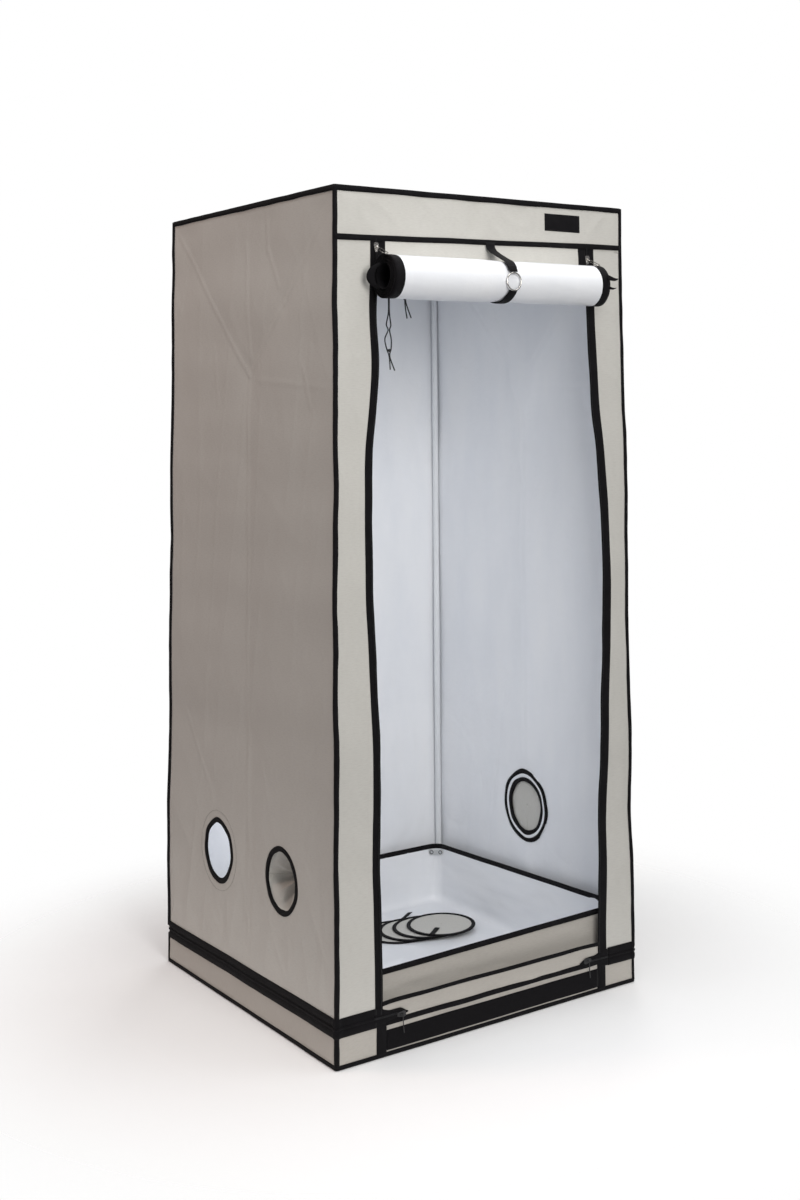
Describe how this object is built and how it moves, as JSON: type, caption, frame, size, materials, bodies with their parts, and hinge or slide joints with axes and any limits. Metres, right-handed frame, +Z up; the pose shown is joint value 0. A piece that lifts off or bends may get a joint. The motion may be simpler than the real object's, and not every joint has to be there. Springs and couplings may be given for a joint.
{
  "type": "indoor grow tent",
  "caption": "Tall square grow tent: white tube frame, zipped fabric cover with ports and a rolled-up front door, on a shallow tub that holds a rimmed tray.",
  "frame": {"origin": "centre of the base tub's underside, on the ground", "axes": "+Z up, the door faces -Y, +X to the right as seen from the front"},
  "size_m": [0.8031, 0.9045, 1.8],
  "materials": {
    "beige_fabric": "woven polyester, light grey-beige outside and white inside",
    "white_fabric": "glossy white coated fabric",
    "black_binding": "ribbed black webbing and zip tape",
    "black_plastic": "moulded black plastic",
    "white_steel": "white powder coat on steel tube",
    "nickel": "nickel plate",
    "black_cord": "braided black cord"
  },
  "bodies": {
    "tent": {"base_binding": "black_binding", "base_corner_front_left": "black_plastic", "base_corner_front_right": "black_plastic", "base_corner_rear_left": "black_plastic", "base_corner_rear_right": "black_plastic", "base_rail_front": "white_steel", "base_rail_left": "white_steel", "base_rail_rear": "white_steel", "base_rail_right": "white_steel", "base_tub": "beige_fabric", "base_zip": "black_binding", "corner_pole_front_left": "white_steel", "corner_pole_front_right": "white_steel", "corner_pole_rear_left": "white_steel", "corner_pole_rear_right": "white_steel", "cover_header": "beige_fabric", "cover_left_post": "beige_fabric", "cover_left_wall": "beige_fabric", "cover_rear_wall": "beige_fabric", "cover_right_post": "beige_fabric", "cover_right_wall": "beige_fabric", "cover_roof": "beige_fabric", "door_zip_tape_left": "black_binding", "door_zip_tape_right": "black_binding", "drawstring_long": "black_cord", "drawstring_short": "black_cord", "hook_strip": "black_binding", "lip_binding": "black_binding", "port_left_front": "beige_fabric", "port_left_rear": "black_binding", "port_right": "black_binding", "port_roof": "beige_fabric", "roll_strap": "black_binding", "strap_ring": "nickel", "top_corner_front_left": "black_plastic", "top_corner_front_right": "black_plastic", "top_corner_rear_left": "black_plastic", "top_corner_rear_right": "black_plastic", "top_rail_front": "white_steel", "top_rail_left": "white_steel", "top_rail_rear": "white_steel", "top_rail_right": "white_steel", "tray": "white_fabric", "tray_rim_binding": "black_binding", "upper_binding": "black_binding"},
    "front_bar": {"equipment_bar_front": "white_steel"},
    "rear_bar": {"equipment_bar_rear": "white_steel"},
    "door_drop_carrier": {"door_sheet": "beige_fabric"},
    "rolled_door": {"door_roll": "white_fabric"},
    "left_door_slider": {"door_zip_slider_left": "nickel"},
    "right_door_slider": {"door_zip_slider_right": "nickel"},
    "left_door_puller": {"door_zip_puller_left": "nickel"},
    "right_door_puller": {"door_zip_puller_right": "nickel"},
    "left_base_slider": {"base_zip_slider_left": "black_plastic"},
    "right_base_slider": {"base_zip_slider_right": "black_plastic"},
    "fitted_cover": {"port_cover_right": "beige_fabric"},
    "loose_cover_1": {"port_cover_1": "beige_fabric"},
    "loose_cover_2": {"port_cover_2": "beige_fabric"},
    "loose_cover_3": {"port_cover_3": "beige_fabric"},
    "loose_cover_4": {"port_cover_4": "beige_fabric"}
  },
  "joints": [
    {"name": "front_bar_slide", "type": "slide", "parent": "tent", "child": "front_bar", "axis": [0, 1, 0], "range_m": [-0.07, 0.1]},
    {"name": "rear_bar_slide", "type": "slide", "parent": "tent", "child": "rear_bar", "axis": [0, 1, 0], "range_m": [-0.1, 0.12]},
    {"name": "door_drop", "type": "slide", "parent": "tent", "child": "door_drop_carrier", "axis": [0, 0, -1], "range_m": [0, 1.4], "deforming": ["door_sheet", "roll_strap"]},
    {"name": "door_unroll", "type": "hinge", "parent": "door_drop_carrier", "child": "rolled_door", "pos_m": [0, -0.45, 1.605], "axis": [1, 0, 0], "range_deg": [0, 1680]},
    {"name": "left_door_zip", "type": "slide", "parent": "tent", "child": "left_door_slider", "axis": [0, 0, -1], "range_m": [0, 1.4]},
    {"name": "right_door_zip", "type": "slide", "parent": "tent", "child": "right_door_slider", "axis": [0, 0, -1], "range_m": [0, 1.4]},
    {"name": "left_door_puller_lift", "type": "hinge", "parent": "left_door_slider", "child": "left_door_puller", "pos_m": [-0.2965, -0.40445, 1.67], "axis": [-1, 0, 0], "range_deg": [0, 100]},
    {"name": "right_door_puller_lift", "type": "hinge", "parent": "right_door_slider", "child": "right_door_puller", "pos_m": [0.29, -0.40445, 1.67], "axis": [-1, 0, 0], "range_deg": [0, 100]},
    {"name": "left_base_zip", "type": "slide", "parent": "tent", "child": "left_base_slider", "axis": [-1, 0, 0], "range_m": [0, 0.11]},
    {"name": "right_base_zip", "type": "slide", "parent": "tent", "child": "right_base_slider", "axis": [1, 0, 0], "range_m": [0, 0.1]},
    {"name": "fitted_cover_pull", "type": "slide", "parent": "tent", "child": "fitted_cover", "axis": [1, 0, 0], "range_m": [0, 0.1]},
    {"name": "loose_cover_1_lift", "type": "slide", "parent": "tent", "child": "loose_cover_1", "axis": [0, 0, 1], "range_m": [0, 0.25]},
    {"name": "loose_cover_2_lift", "type": "slide", "parent": "loose_cover_1", "child": "loose_cover_2", "axis": [0, 0, 1], "range_m": [0, 0.25]},
    {"name": "loose_cover_3_lift", "type": "slide", "parent": "loose_cover_2", "child": "loose_cover_3", "axis": [0, 0, 1], "range_m": [0, 0.25]},
    {"name": "loose_cover_4_lift", "type": "slide", "parent": "loose_cover_3", "child": "loose_cover_4", "axis": [0, 0, 1], "range_m": [0, 0.25]}
  ],
  "couplings": [
    {"joint": "door_unroll", "follows": "door_drop", "rad_per_m": 20.833},
    {"joint": "left_door_zip", "follows": "door_drop", "ratio": 1},
    {"joint": "right_door_zip", "follows": "door_drop", "ratio": 1}
  ]
}
